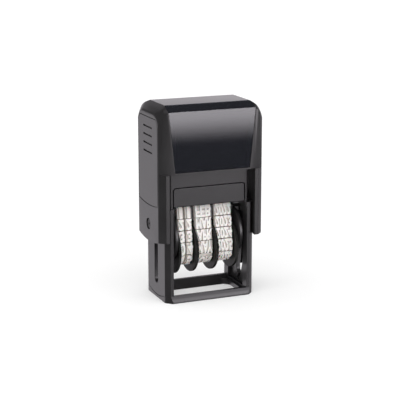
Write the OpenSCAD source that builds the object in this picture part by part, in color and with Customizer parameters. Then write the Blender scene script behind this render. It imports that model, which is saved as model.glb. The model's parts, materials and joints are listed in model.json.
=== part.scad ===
// Self-inking date stamp, at rest, in millimetres.
// X runs along the date line, the front faces -Y and Z is up. The base stands on z = 0.
// The sizes go from the inside out: the bands set the carrier, the carrier sets the frame,
// and the frame and the length of the press set the cap.

/* [Date bands] */
// Width of each of the two day bands
day_band_w = 2.4; // [1.8:0.1:3.4]
// Width of the month band
month_band_w = 6; // [4.6:0.1:7.6]
// Width of the year band
year_band_w = 6.2; // [4.6:0.1:7.6]
// Gap between the two day bands
day_gap = 0.35; // [0.2:0.05:0.8]
// Thickness of the rubber under the rows
band_t = 0.9; // [0.6:0.05:1.2]
// Height of a row block above the rubber
row_h = 0.6; // [0.3:0.05:0.9]
// Gap between two row blocks along the band
row_gap = 0.35; // [0.2:0.05:0.6]
// Rows on each band
row_count = 12; // [10:1:14]
// Height of the moulded characters that stand on a row block
type_h = 0.45; // [0.3:0.05:0.6]

/* [Setting wheels] */
// Radius of a finger disc
disc_r = 8.4; // [7.4:0.1:8.8]
// Thickness of a finger disc
disc_t = 0.9; // [0.7:0.05:1.2]
// Grip notches round a disc
notch_count = 90; // [36:2:110]
// Depth of a grip notch
notch_depth = 0.18; // [0.1:0.02:0.3]
// Radius of the drum inside a band
drum_r = 3.88; // [3.4:0.02:4.4]
// Flutes round a drum
flute_count = 10; // [6:1:14]
// Depth of a flute
flute_depth = 0.5; // [0.2:0.05:0.8]
// Side clearance beside a disc
disc_gap = 0.12; // [0.08:0.02:0.2]
// Clearance between a drum and its band
drum_gap = 0.12; // [0.1:0.02:0.2]

/* [Carrier] */
// Height of the flip axis above the desk at rest
axis_z = 25.7; // [24:0.1:28]
// Drop from the flip axis to the wheel axis
wheel_drop = 9.4; // [9:0.1:10]
// Rise from the flip axis to the face of the platen
platen_rise = 4.5; // [4.3:0.05:5.2]
// Flat half depth of the platen's face
platen_flat = 1.6; // [1.3:0.05:2]
// Radius of the platen's edges
platen_edge = 0.4; // [0.3:0.05:0.6]
// Clearance of the platen inside the bands and between the cheeks
platen_fit = 0.02; // [0.01:0.01:0.05]
// Gap between the discs and the platen above them
platen_gap = 0.6; // [0.3:0.1:1]
// Depth of the platen's tenons, front to back
tenon_d = 2.8; // [2:0.1:3]
// Height of those tenons
tenon_h = 1.2; // [0.8:0.05:1.4]
// Length of those tenons in the cheeks
tenon_l = 0.9; // [0.4:0.05:0.9]
// Wall between a pivot bore and the tenon above it
tenon_wall = 0.45; // [0.3:0.05:0.6]
// Reach of the band guides beyond the platen's sides
guide_reach = 1; // [0.5:0.1:1.4]
// Radius of the round cheeks
cheek_r = 8.4; // [7.8:0.1:8.8]
// Drop from the flip axis to the middle of a cheek
cheek_drop = 4.8; // [4.5:0.1:5.2]
// Thickness of a cheek
cheek_t = 1.3; // [1:0.05:1.6]
// Gap between the outer wheels and the cheeks
cheek_gap = 0.3; // [0.15:0.05:0.5]
// Radius of the wheel axle
axle_r = 0.9; // [0.7:0.05:1.1]
// Radius of the axle's head and of its clip
axle_head_r = 1.8; // [1.5:0.1:2.2]
// Thickness of the axle's head and of its clip
axle_head_t = 0.45; // [0.3:0.05:0.55]
// Radius of the pivot pins
pin_r = 1.5; // [1.2:0.05:1.8]
// Radius and depth of the dimple in a pin's end
dimple_r = 0.4; // [0.2:0.05:0.6]
// Rise of a pin's end from the floor of its recess
pin_rise = 0.4; // [0.1:0.05:0.6]
// Running clearance of a bore round its shaft
run_fit = 0.05; // [0.03:0.01:0.08]
// Radius of the follower pegs that flip the carrier
peg_r = 0.6; // [0.4:0.05:0.7]
// Distance from the flip axis to a follower peg
peg_arm = 3.4; // [3.2:0.1:3.5]

/* [Frame] */
// Gap between a cheek and the posts
post_gap = 0.75; // [0.7:0.05:1]
// Width of a post, from its inner face to the outside
post_w = 2.65; // [2.4:0.05:3]
// Depth of a post, front to back
post_d = 3.3; // [2.6:0.1:4]
// Thickness of the side walls between the posts
wall_t = 1.53; // [1.2:0.01:1.8]
// Depth of the lower frame, front to back
frame_d = 18.8; // [17.6:0.1:19.6]
// Slope across the outer corners of the posts
post_slope = 1.57; // [0.8:0.01:2]
// Thickness of the shoulders on top of the posts
shoulder_t = 1.5; // [1:0.1:2]
// Depth of the upper frame, front to back
upper_d = 16.4; // [15.4:0.1:17]
// Side walls of the cassette bay
bay_wall = 1.05; // [1:0.01:1.3]
// Thickness of the deck over the bay
deck_t = 1.4; // [1:0.1:2]
// Walls round the spring well
deck_wall = 1.2; // [0.9:0.1:1.6]
// Height of those walls above the deck
deck_rise = 4.3; // [3.6:0.1:5]
// Clearance between the spring and the ring that holds it
ring_gap = 0.1; // [0.05:0.05:0.3]
// Wall of that ring
ring_wall = 0.6; // [0.4:0.05:0.8]
// Height of that ring above the deck
ring_h = 2.2; // [1.5:0.1:3]
// Clearance of a pivot pin in its slot
slot_fit = 0.1; // [0.06:0.02:0.16]
// Depth of the flip track in a side wall
track_depth = 0.9; // [0.6:0.05:1.1]
// Clearance of a follower peg in its track
track_fit = 0.12; // [0.08:0.02:0.2]

/* [Base] */
// Height of the base rim
base_h = 2.4; // [2:0.1:2.8]
// Reach of the rim in front of the posts and behind them
base_reach = 0.6; // [0.2:0.05:0.7]
// Slope across the rim's corners
base_slope = 2.1; // [1.2:0.1:2.4]
// Height of the rim's sloping top edge
rim_slope = 1.8; // [1:0.05:2]
// Sag of a side wall's lower edge into the rim
wall_sag = 1.3; // [0.8:0.1:1.5]
// Seam between that edge and the rim
seam = 0.25; // [0.15:0.05:0.4]
// Width of the front and rear bars
bar_w = 1.85; // [1.5:0.05:2.2]
// Width of the side rails inside the posts
rail_w = 0.9; // [0.5:0.05:1.2]
// Height of those rails
rail_h = 1.6; // [1:0.1:1.9]
// Gussets in the corners of the print window
gusset = 1.6; // [0.8:0.1:2.4]

/* [Ink cassette] */
// Width of the cassette
tray_w = 25.5; // [24.5:0.1:26.5]
// Height of the cassette
tray_h = 6.4; // [5.8:0.1:7]
// Walls of the cassette
tray_wall = 1; // [0.8:0.1:1.4]
// Clearance round the cassette in its bay
tray_gap = 0.2; // [0.1:0.05:0.3]
// Reach of the cassette's runners
runner_reach = 0.6; // [0.4:0.05:0.65]
// Height of those runners
runner_h = 1.2; // [0.8:0.1:1.6]
// Set-back of those runners from the cassette's front
runner_set = 2; // [1.6:0.1:4]
// Thickness of the ink pad
pad_t = 4.6; // [3.6:0.1:4.8]
// Gap between the characters and the pad, and between the pad and its tray
pad_gap = 0.1; // [0.05:0.05:0.2]

/* [Return spring] */
// Mean radius of the spring
spring_r = 4.5; // [3.6:0.1:5]
// Radius of its wire
wire_r = 0.35; // [0.25:0.05:0.4]
// Turns of wire
spring_turns = 5.5; // [4:0.5:6]

/* [Cap] */
// Clearance between the cap and the posts
cap_gap = 0.25; // [0.2:0.05:0.35]
// Clearance between the cap and the upper frame
deck_gap = 0.35; // [0.25:0.05:0.5]
// Thickness of the cap's side walls
side_wall = 2.4; // [2:0.05:3]
// Thickness of the cap's front and back in front of the posts
front_wall = 1.55; // [1.25:0.05:1.8]
// Thickness of the cap's top
top_wall = 1.6; // [1.2:0.1:2.2]
// Gap left over the frame when the cap is pressed right down
press_gap = 0.7; // [0.4:0.1:1]
// Gap left under the characters when the cap is pressed right down
print_gap = 0.1; // [0.05:0.05:0.2]
// Gap left under the legs when the cap is pressed right down
leg_gap = 0.8; // [0.5:0.1:2]
// Width of the leg flanges that wrap round the posts
leg_flange = 3.3; // [2.8:0.1:4]
// Lap of the front and back panels over the top of the frame
panel_lap = 0.8; // [0.4:0.1:2]
// Slope across the cap's upright corners
corner_slope = 2; // [1.6:0.1:2.8]
// Inset of the top from the sides
side_bevel = 3.5; // [2.6:0.1:4]
// Drop of the side bevels
side_drop = 2.6; // [2:0.1:3.6]
// Inset of the top from the front and back
front_bevel = 4.6; // [3.4:0.05:5]
// Drop of the front and back bevels
front_drop = 1.75; // [1.4:0.05:2.2]
// Sag of the legs' lower edges, seen from the side
leg_sag = 1.2; // [0.4:0.1:1.4]
// Turn of the flanks beside the window, from the front
flank_turn = 20; // [12:1:24]
// Distance from the side bevels to the grip panels under them
grip_set = 1; // [0.6:0.1:2]
// Width of the line sunk round a grip panel
line_w = 0.3; // [0.2:0.05:0.5]
// Depth of that line
line_depth = 0.25; // [0.1:0.05:0.4]
// Radius of a grip panel's upper corners
grip_r = 2; // [1:0.1:2.4]
// Distance from a grip panel to the cap's front and back corners
grip_margin = 0.25; // [0.1:0.05:1]
// Height of a grip panel
grip_h = 29.3; // [24:0.1:31]
// Sag of a grip panel's lower edge
grip_sag = 0.9; // [0.3:0.1:2]
// Grip grooves on each side
groove_count = 4; // [2:1:5]
// Length of a grip groove
groove_l = 8.1; // [5:0.1:11]
// Height of a grip groove
groove_h = 0.6; // [0.3:0.05:0.9]
// Depth of a grip groove
groove_depth = 0.45; // [0.2:0.05:0.7]
// Distance from one grip groove to the next
groove_pitch = 2.77; // [2:0.01:3.4]
// Distance from the top of a grip panel to its first groove
groove_drop = 4; // [2.5:0.1:6]
// Radius of the recess round a pivot pin's end
recess_r = 1.9; // [1.85:0.05:2.4]
// Depth of that recess
recess_depth = 0.6; // [0.3:0.1:1]

/* [Edges] */
// Radius of the cap's upper side edges
bevel_r = 1.4; // [0.8:0.1:2.4]
// Radius of the larger moulded edges
edge_r = 1; // [0.5:0.1:1.2]
// Radius of the smaller moulded edges
fine_r = 0.5; // [0.2:0.05:0.6]

/* [Window] */
// Width of the window at its top
window_top_w = 30.6; // [28:0.1:31]
// Width of the window at its lower edge
window_low_w = 26.4; // [22:0.1:28]
// Thickness of the window
window_t = 0.65; // [0.5:0.05:0.8]
// Bow of the window's face from edge to edge
window_bow = 0.35; // [0.1:0.05:0.6]
// Set-back of the window's edges from the cap's front
window_set = 0.35; // [0:0.05:0.4]
// Clearance round the window
window_fit = 0.05; // [0.02:0.01:0.1]
// Rim between the window and the flanks beside it
window_rim = 0.3; // [0.2:0.05:0.5]
// Height of the lip under the window
window_lip = 0.6; // [0.4:0.05:1]
// Distance from the edges of the card behind the window to the window's edges
card_margin = 1.7; // [1.5:0.1:3]
// Thickness of the card
card_t = 0.25; // [0.15:0.05:0.35]

/* [Hidden] */
$fn = 48;
// Chords in a small rounded corner, and in a large arc
corner_steps = 5;
arc_steps = 12;
// Overrun of a cut past the face that it opens
over = 1;

// Places along X, from the middle of the row of wheels and bands
stack_w = 4 * disc_t + 6 * disc_gap + day_gap + 2 * day_band_w + month_band_w + year_band_w;
tens_disc_x = -stack_w / 2;
tens_x = tens_disc_x + disc_t + disc_gap;
units_x = tens_x + day_band_w + day_gap;
units_disc_x = units_x + day_band_w + disc_gap;
month_x = units_disc_x + disc_t + disc_gap;
month_disc_x = month_x + month_band_w + disc_gap;
year_x = month_disc_x + disc_t + disc_gap;
year_disc_x = year_x + year_band_w + disc_gap;
cheek_x = stack_w / 2 + cheek_gap;
cheek_out_x = cheek_x + cheek_t;
post_x = cheek_out_x + post_gap;
frame_x = post_x + post_w;
wall_x = frame_x - wall_t;
cap_in_x = frame_x + cap_gap;
cap_x = cap_in_x + side_wall;
tray_x = tray_w / 2;
bay_x = tray_x + tray_gap;
upper_x = bay_x + bay_wall;

// Places along Y
post_y = frame_d / 2;
upper_y = upper_d / 2;
base_y = post_y + base_reach;
cap_in_y = post_y + cap_gap;
cap_y = cap_in_y + front_wall;
deck_in_y = upper_y + deck_gap;
runner_y = -upper_y + runner_set;

// Places along Z, and the length of the press
type_rise = platen_rise + band_t + row_h + type_h;
press = axis_z - type_rise - print_gap;
wheel_z = axis_z - wheel_drop;
platen_z = axis_z + platen_rise;
tray_z = axis_z + type_rise + pad_gap;
shoulder_z = tray_z - tray_gap;
deck_z = tray_z + tray_h + tray_gap;
well_z = deck_z + deck_t;
frame_top = well_z + deck_rise;
ceiling_z = frame_top + press + press_gap;
cap_top = ceiling_z + top_wall;
panel_z = frame_top - panel_lap;
leg_z = press + leg_gap + leg_sag;
leg_low_z = leg_z - leg_sag;
window_z = cap_top - front_drop;
window_low_z = panel_z + window_lip;
grip_top = cap_top - side_drop - grip_set;

// A band runs over the platen and round its drum. Its inner face turns on two centres,
// and the run between them leans by run_lean from the upright.
loop_r = drum_r + drum_gap;
edge_z = platen_z - platen_edge;
centre_gap = norm([platen_flat, edge_z - wheel_z]);
run_lean = atan2(edge_z - wheel_z, platen_flat) - acos((loop_r - platen_edge) / centre_gap);
run_l = sqrt(centre_gap ^ 2 - (loop_r - platen_edge) ^ 2);
edge_l = (platen_edge + band_t / 2) * (90 - run_lean) * PI / 180;
turn_l = (loop_r + band_t / 2) * (90 + run_lean) * PI / 180;
half_l = platen_flat + edge_l + run_l + turn_l;
row_pitch = 2 * half_l / row_count;

// Colours of the mouldings
black_plastic = "#2b2b2d";
clear_plastic = "#8d939c";
rubber_white = "#dcd8d0";
steel = "#b9bcc0";

function unit(v) = v / norm(v);

// Outline whose corners [x, y, radius] are turned into arcs of a few chords
function rounded(corners, steps = corner_steps) = [
    for (i = [0 : len(corners) - 1])
        let (
            n = len(corners),
            here = [corners[i].x, corners[i].y],
            r = corners[i][2],
            back = unit([corners[(i + n - 1) % n].x, corners[(i + n - 1) % n].y] - here),
            ahead = unit([corners[(i + 1) % n].x, corners[(i + 1) % n].y] - here),
            half = acos(back * ahead) / 2,
            turn = 180 - 2 * half,
            middle = here + unit(back + ahead) * r / sin(half),
            from = here + back * r / tan(half) - middle,
            to = here + ahead * r / tan(half) - middle
        )
        for (k = [0 : r > 0 ? steps : 0])
            r > 0
                ? middle + (from * sin(turn * (1 - k / steps)) + to * sin(turn * k / steps)) / sin(turn)
                : here
];

// Rectangle about the middle with rounded or sloped corners
function rounded_box(x, y, r) = rounded([[-x, -y, r], [x, -y, r], [x, y, r], [-x, y, r]]);
function sloped_box(x, y, slope, r) = rounded([
    for (s = [[-1, -1], [1, -1], [1, 1], [-1, 1]])
        for (first = s.x * s.y > 0 ? [true, false] : [false, true])
            first ? [s.x * x, s.y * (y - slope), r] : [s.x * (x - slope), s.y * y, r]
]);

// Half circle of points from a first angle, and a round-ended slot made of two of them
function half_circle(r, middle, first) = [
    for (k = [0 : arc_steps])
        let (turn = first + 180 * k / arc_steps)
        middle + r * [cos(turn), sin(turn)]
];
function slot_outline(half_w, low, high) = concat(
    half_circle(half_w, [0, low], 180),
    half_circle(half_w, [0, high], 0)
);

// Arc of points that sags below its ends at [-half, low] and [half, low]
function sagging(half, low, sag) =
    let (
        r = (half ^ 2 + sag ^ 2) / (2 * sag),
        sweep = asin(half / r)
    )
    [
        for (k = [0 : arc_steps])
            let (turn = sweep * (2 * k / arc_steps - 1))
            [r * sin(turn), low + r - sag - r * cos(turn)]
    ];

// Solids from outlines: along_x takes points [y, z] and along_y takes points [x, z]
module along_x(from, to) {
    translate([from, 0, 0]) rotate([90, 0, 90]) linear_extrude(to - from) children();
}
module along_y(from, to) {
    translate([0, to, 0]) rotate([90, 0, 0]) linear_extrude(to - from) children();
}
module along_z(from, to) {
    translate([0, 0, from]) linear_extrude(to - from) children();
}
module rod_x(r, from, to) {
    translate([from, 0, 0]) rotate([0, 90, 0]) cylinder(r = r, h = to - from);
}
module block(low, high) {
    translate(low) cube(high - low);
}
// The same shape on the left and the right
module both_sides() {
    children();
    mirror([1, 0, 0]) children();
}

// Frame: two C-shaped side walls with slots, a bay for the cassette and a well for the spring
module side_wall_outline() {
    polygon([
        [post_x, -post_y],
        [frame_x - post_slope, -post_y],
        [frame_x, -post_y + post_slope],
        [frame_x, post_y - post_slope],
        [frame_x - post_slope, post_y],
        [post_x, post_y],
        [post_x, post_y - post_d],
        [wall_x, post_y - post_d],
        [wall_x, -post_y + post_d],
        [post_x, -post_y + post_d]
    ]);
}
// Lower edge of a side wall, which sags into the rim
module wall_edge(gap) {
    half = post_y - post_slope - seam + gap;
    polygon(concat(
        sagging(half, base_h, wall_sag + gap),
        [[half, base_h + over], [-half, base_h + over]]
    ));
}
module shoulder_outline() {
    polygon([
        [bay_x, -post_y],
        [frame_x - post_slope, -post_y],
        [frame_x, -post_y + post_slope],
        [frame_x, post_y - post_slope],
        [frame_x - post_slope, post_y],
        [bay_x, post_y]
    ]);
}
module bay_outline(gap) {
    x = tray_x + gap;
    top = tray_z + tray_h + gap;
    low = tray_z - gap;
    polygon(rounded([[-x, low, 0], [x, low, 0], [x, top, edge_r + gap], [-x, top, edge_r + gap]]));
}
module runner_outline(gap) {
    low = tray_z + tray_h / 2 - gap;
    polygon([
        [tray_x - tray_wall / 2, low],
        [tray_x + runner_reach + gap, low],
        [tray_x + runner_reach + gap, low + runner_h + 2 * gap],
        [tray_x - tray_wall / 2, low + runner_h + 2 * gap]
    ]);
}
module frame_housing() {
    color(black_plastic) difference() {
        union() {
            both_sides() {
                along_z(base_h, shoulder_z) side_wall_outline();
                along_x(wall_x, frame_x) wall_edge(0);
                along_z(shoulder_z - shoulder_t, shoulder_z) shoulder_outline();
            }
            along_z(shoulder_z, frame_top) polygon(rounded_box(upper_x, upper_y, fine_r));
        }
        along_y(-upper_y - over, upper_y + over) bay_outline(tray_gap);
        both_sides() along_y(runner_y - tray_gap, upper_y + over) runner_outline(tray_gap);
        difference() {
            along_z(well_z, frame_top + over)
                polygon(rounded_box(upper_x - deck_wall, upper_y - deck_wall, fine_r));
            spring_holder();
        }
        both_sides() {
            along_x(wall_x - over, frame_x + over)
                polygon(slot_outline(pin_r + slot_fit, axis_z - press, axis_z));
            along_x(wall_x - over, wall_x + track_depth) polygon(track_outline(peg_r + track_fit));
        }
    }
}
// Way of a follower peg past the side wall, while the carrier turns over once in the press
function peg_place(turn) = [-peg_arm * sin(turn), axis_z - press * turn / 180 + peg_arm * cos(turn)];
function peg_heading(turn) = unit([-peg_arm * cos(turn) * PI, -press - peg_arm * sin(turn) * PI]);
function track_outline(half_w) =
    let (
        steps = 2 * arc_steps,
        turns = [for (k = [0 : steps]) 180 * k / steps],
        bend = function (turn, angle)
            let (
                heading = peg_heading(turn),
                aside = [-heading.y, heading.x]
            )
            peg_place(turn) + half_w * (heading * cos(angle) + aside * sin(angle))
    )
    concat(
        [for (turn = turns) bend(turn, 90)],
        [for (k = [1 : arc_steps - 1]) bend(180, 90 - 180 * k / arc_steps)],
        [for (k = [0 : steps]) bend(turns[steps - k], -90)],
        [for (k = [1 : arc_steps - 1]) bend(0, -90 - 180 * k / arc_steps)]
    );
// Ring on the deck that keeps the spring in the middle
module spring_holder() {
    r = spring_r + wire_r + ring_gap;
    difference() {
        translate([0, 0, well_z - over]) cylinder(r = r + ring_wall, h = ring_h + over);
        translate([0, 0, well_z - 2 * over]) cylinder(r = r, h = ring_h + 3 * over);
    }
}

// Base rim with the print window, low side rails and corner gussets
module base_frame() {
    color(black_plastic) intersection() {
        difference() {
            along_z(0, base_h) polygon(sloped_box(frame_x, base_y, base_slope, fine_r));
            along_z(-over, base_h + over) polygon(sloped_box(post_x - rail_w, base_y - bar_w, gusset, 0));
            along_z(rail_h, base_h + over)
                polygon(rounded_box(post_x, base_y - bar_w, fine_r));
            both_sides() along_x(wall_x - seam, frame_x + over) wall_edge(seam);
        }
        along_x(-frame_x - over, frame_x + over) polygon([
            [-base_y, 0],
            [base_y, 0],
            [base_y, base_h - rim_slope],
            [post_y, base_h],
            [-post_y, base_h],
            [-base_y, base_h - rim_slope]
        ]);
    }
}

// Return spring: one tube swept along a helix, with six sides
spring_rings = 16;
wire_sides = 6;
spring_low = well_z + wire_r;
spring_high = ceiling_z - wire_r;
spring_pitch = (spring_high - spring_low) / spring_turns;
last_ring = spring_rings * spring_turns;
function wire_point(i, out, up) =
    let (turn = 360 * i / spring_rings)
    [out * cos(turn), out * sin(turn), spring_low + spring_pitch * i / spring_rings + up];
function spring_ring(i) = [
    for (k = [0 : wire_sides - 1])
        let (turn = 360 * k / wire_sides)
        wire_point(i, spring_r + wire_r * cos(turn), wire_r * sin(turn))
];
// Least gap from one turn to the next, between the middles of all rings half a turn or more apart
spring_gap = min([
    for (i = [0 : last_ring])
        for (j = [0 : i - spring_rings / 2])
            norm(wire_point(i, spring_r, 0) - wire_point(j, spring_r, 0))
]) - 2 * wire_r;
echo(least_gap_in_spring = spring_gap);
module return_spring() {
    points = [for (i = [0 : last_ring]) for (p = spring_ring(i)) p];
    sides = [
        for (i = [0 : last_ring - 1])
            for (k = [0 : wire_sides - 1])
                let (
                    a = wire_sides * i + k,
                    b = wire_sides * i + (k + 1) % wire_sides
                )
                for (face = [[a, a + wire_sides, b], [b, a + wire_sides, b + wire_sides]]) face
    ];
    near_end = [for (k = [1 : wire_sides - 2]) [0, k, k + 1]];
    far_end = [for (k = [1 : wire_sides - 2]) [0, k + 1, k] + wire_sides * last_ring * [1, 1, 1]];
    color(steel) polyhedron(points, concat(sides, near_end, far_end));
}

// Ink cassette: a tray that opens downwards, with a runner on each side
module pad_tray() {
    color(black_plastic) difference() {
        union() {
            along_y(-upper_y, upper_y) bay_outline(0);
            both_sides() along_y(runner_y, upper_y) runner_outline(0);
        }
        block(
            [-tray_x + tray_wall, -upper_y + tray_wall, tray_z - over],
            [tray_x - tray_wall, upper_y - tray_wall, tray_z + pad_t]
        );
    }
}
module ink_pad() {
    x = tray_x - tray_wall - pad_gap;
    y = upper_y - tray_wall - pad_gap;
    color("#26222e") along_z(tray_z, tray_z + pad_t) polygon(rounded_box(x, y, fine_r));
}

// Cap: a bevelled block over the frame, with two legs that wrap round the posts
module cap_block() {
    top_x = cap_x - side_bevel;
    top_y = cap_y - front_bevel;
    difference() {
        intersection() {
            along_z(leg_low_z, cap_top) polygon(sloped_box(cap_x, cap_y, corner_slope, fine_r));
            along_y(-cap_y, cap_y) polygon(rounded([
                [-cap_x, leg_low_z, 0],
                [cap_x, leg_low_z, 0],
                [cap_x, cap_top - side_drop, bevel_r],
                [top_x, cap_top, fine_r],
                [-top_x, cap_top, fine_r],
                [-cap_x, cap_top - side_drop, bevel_r]
            ]));
            along_x(-cap_x, cap_x) polygon(concat(
                sagging(cap_y - corner_slope, leg_z, leg_sag),
                rounded([
                    [cap_y, leg_z, 0],
                    [cap_y, window_z, edge_r],
                    [top_y, cap_top, fine_r],
                    [-top_y, cap_top, fine_r],
                    [-cap_y, window_z, edge_r],
                    [-cap_y, leg_z, 0]
                ])
            ));
        }
        both_sides() flank_cut();
    }
}
// Cut for the flank beside the window, along the window's edge
module flank_cut() {
    rise = window_z - window_low_z;
    lean = atan((window_top_w - window_low_w) / 2 * sin(flank_turn) / rise);
    intersection() {
        translate([window_low_w / 2 + window_rim, -cap_y, window_low_z]) rotate([lean, 0, flank_turn])
            block([-cap_x, -cap_x, -cap_x], [cap_x, 0, cap_top]);
        block([0, -cap_y - over, panel_z], [cap_x + over, 0, cap_top + over]);
    }
}
// Outline of a grip panel with a sagging lower edge, drawn in by inset
module grip_outline(inset) {
    y = cap_y - corner_slope - grip_margin - inset;
    low = grip_top - grip_h + inset;
    top = grip_top - inset;
    upper = rounded([[-y, low, 0], [y, low, 0], [y, top, grip_r - inset], [-y, top, grip_r - inset]]);
    polygon(concat(sagging(y, low, grip_sag), [for (p = upper) if (p.y > low) p]));
}
module grip_line() {
    difference() {
        along_x(cap_x - line_depth, cap_x + over) grip_outline(0);
        along_x(cap_x - line_depth - over, cap_x + 2 * over) grip_outline(line_w);
    }
}
module grip_grooves() {
    top = grip_top - groove_drop;
    half = (groove_l - groove_h) / 2;
    for (i = [0 : groove_count - 1])
        translate([0, 0, top - i * groove_pitch])
            along_x(cap_x - groove_depth, cap_x + over)
                rotate(90) polygon(slot_outline(groove_h / 2, -half, half));
}
module cap_hollow() {
    post_top = shoulder_z + press + press_gap;
    block([-cap_in_x, -deck_in_y, leg_low_z - over], [cap_in_x, deck_in_y, cap_top - side_drop - side_wall]);
    block([-upper_x - deck_gap, -deck_in_y, leg_z], [upper_x + deck_gap, deck_in_y, ceiling_z]);
    both_sides() block([bay_x - deck_gap, -cap_in_y, leg_low_z - over], [cap_in_x, cap_in_y, post_top]);
    block(
        [-cap_x + leg_flange, -cap_y - over, leg_low_z - over],
        [cap_x - leg_flange, cap_y + over, panel_z]
    );
}
module cap_shell() {
    color(black_plastic) difference() {
        cap_block();
        cap_hollow();
        both_sides() grip_line();
        both_sides() grip_grooves();
        window_recess();
        card_body(window_fit);
        both_sides() translate([0, 0, axis_z]) {
            rod_x(pin_r, cap_in_x - over, cap_x + over);
            rod_x(recess_r, cap_x - recess_depth, cap_x + over);
        }
    }
}

// Window: a bowed plate that narrows downwards and folds back over the front bevel
window_y = -cap_y + window_set;
window_top_y = -cap_y + front_bevel;
module window_sides(fit) {
    along_y(-cap_y - over, 0) polygon([
        [-window_low_w / 2 - fit, window_low_z - fit],
        [window_low_w / 2 + fit, window_low_z - fit],
        [window_top_w / 2 + fit, window_z],
        [cap_x - side_bevel + fit, cap_top + over],
        [-cap_x + side_bevel - fit, cap_top + over],
        [-window_top_w / 2 - fit, window_z]
    ]);
}
function window_back(fit) = [
    [window_y + window_t, window_z - window_t],
    [window_top_y + fit, cap_top - window_t]
];
module window_cover() {
    rise = window_z - window_low_z;
    bow_r = (rise ^ 2 / 4 + window_bow ^ 2) / (2 * window_bow);
    sweep = asin(rise / 2 / bow_r);
    middle = [window_y - window_bow + bow_r, window_low_z + rise / 2];
    face = [
        for (k = [0 : arc_steps])
            let (turn = sweep * (1 - 2 * k / arc_steps))
            middle + bow_r * [-cos(turn), sin(turn)]
    ];
    color(clear_plastic) intersection() {
        along_x(-cap_x, cap_x) polygon(concat(
            [[window_top_y, cap_top]],
            face,
            [[window_y + window_t, window_low_z]],
            window_back(0)
        ));
        window_sides(0);
    }
}
module window_recess() {
    intersection() {
        along_x(-cap_x, cap_x) polygon(concat(
            [[window_top_y + window_fit, cap_top + over]],
            [[-cap_y - over, cap_top + over], [-cap_y - over, panel_z - over]],
            [[window_y + window_t, panel_z - over]],
            window_back(window_fit)
        ));
        window_sides(window_fit);
    }
}
// Card in a shallow pocket behind the window, narrowing as the window does
module card_body(fit) {
    margin = card_margin - fit;
    back_y = window_y + window_t;
    low_x = window_low_w / 2 - margin;
    top_x = window_top_w / 2 - margin;
    along_y(back_y, back_y + card_t) polygon([
        [-low_x, window_low_z + margin],
        [low_x, window_low_z + margin],
        [top_x, window_z - margin],
        [-top_x, window_z - margin]
    ]);
}
module index_card() {
    color("#15161a") card_body(0);
}

// Pivot pin: pressed into a leg, through the slot and into the bore of a cheek
module pivot_pin() {
    face_x = cap_x - recess_depth + pin_rise;
    color(black_plastic) translate([0, 0, axis_z]) difference() {
        rod_x(pin_r, cheek_x, face_x);
        rod_x(dimple_r, face_x - dimple_r, face_x + over);
    }
}
module pivot_pin_left() {
    mirror([1, 0, 0]) pivot_pin();
}
module pivot_pin_right() {
    pivot_pin();
}

// Carrier: two round cheeks, the platen between them and the wheel axle
tenon_y = tenon_d / 2;
tenon_z = axis_z + pin_r + tenon_wall;
// Round plate whose outer edge is rounded over half its thickness
module cheek_plate() {
    round_r = cheek_t / 2;
    translate([cheek_x, 0, axis_z - cheek_drop]) rotate([0, 90, 0]) rotate_extrude()
        polygon(concat(
            [[0, 0], [cheek_r, 0]],
            [for (k = [0 : corner_steps]) let (turn = 90 * k / corner_steps)
                [cheek_r - round_r + round_r * cos(turn), cheek_t - round_r + round_r * sin(turn)]],
            [[0, cheek_t]]
        ));
}
module cheek() {
    color(black_plastic) difference() {
        union() {
            cheek_plate();
            translate([0, peg_place(0).x, peg_place(0).y])
                rod_x(peg_r, cheek_x + cheek_t / 2, wall_x + track_depth - track_fit);
        }
        translate([0, 0, axis_z]) rod_x(pin_r + run_fit, cheek_x - over, cheek_out_x + over);
        translate([0, 0, wheel_z]) rod_x(axle_r, cheek_x - over, cheek_out_x + over);
        block([cheek_x - over, -tenon_y, tenon_z], [cheek_x + tenon_l, tenon_y, tenon_z + tenon_h]);
    }
}
module carrier_cheek_left() {
    mirror([1, 0, 0]) cheek();
}
module carrier_cheek_right() {
    cheek();
}
// Platen: a bar inside the bands with a tenon at each end, and guides in line with the discs
module platen() {
    x = cheek_x - platen_fit;
    y = platen_flat + platen_edge - platen_fit;
    low = wheel_z + disc_r + platen_gap;
    top = platen_z - platen_fit;
    guide_y = y + guide_reach;
    color(black_plastic) union() {
        along_x(-x, x) polygon(rounded([
            [-y, low, 0],
            [y, low, 0],
            [y, top, platen_edge],
            [-y, top, platen_edge]
        ]));
        both_sides() block([x - over, -tenon_y, tenon_z], [cheek_x + tenon_l, tenon_y, tenon_z + tenon_h]);
        for (disc_x = [units_disc_x, month_disc_x])
            along_x(disc_x, disc_x + disc_t) polygon(rounded([
                [-guide_y, low, edge_r],
                [guide_y, low, edge_r],
                [y, platen_z + band_t, edge_r],
                [-y, platen_z + band_t, edge_r]
            ]));
    }
}
module wheel_axle() {
    end_x = cheek_out_x + axle_head_t;
    color(steel) translate([0, 0, wheel_z]) union() {
        rod_x(axle_r, -cheek_out_x, end_x);
        rod_x(axle_head_r, -end_x, -cheek_out_x);
    }
}
module axle_clip() {
    color(steel) translate([0, 0, wheel_z]) difference() {
        rod_x(axle_head_r, cheek_out_x, cheek_out_x + axle_head_t);
        rod_x(axle_r, cheek_out_x - over, cheek_out_x + axle_head_t + over);
    }
}

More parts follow.
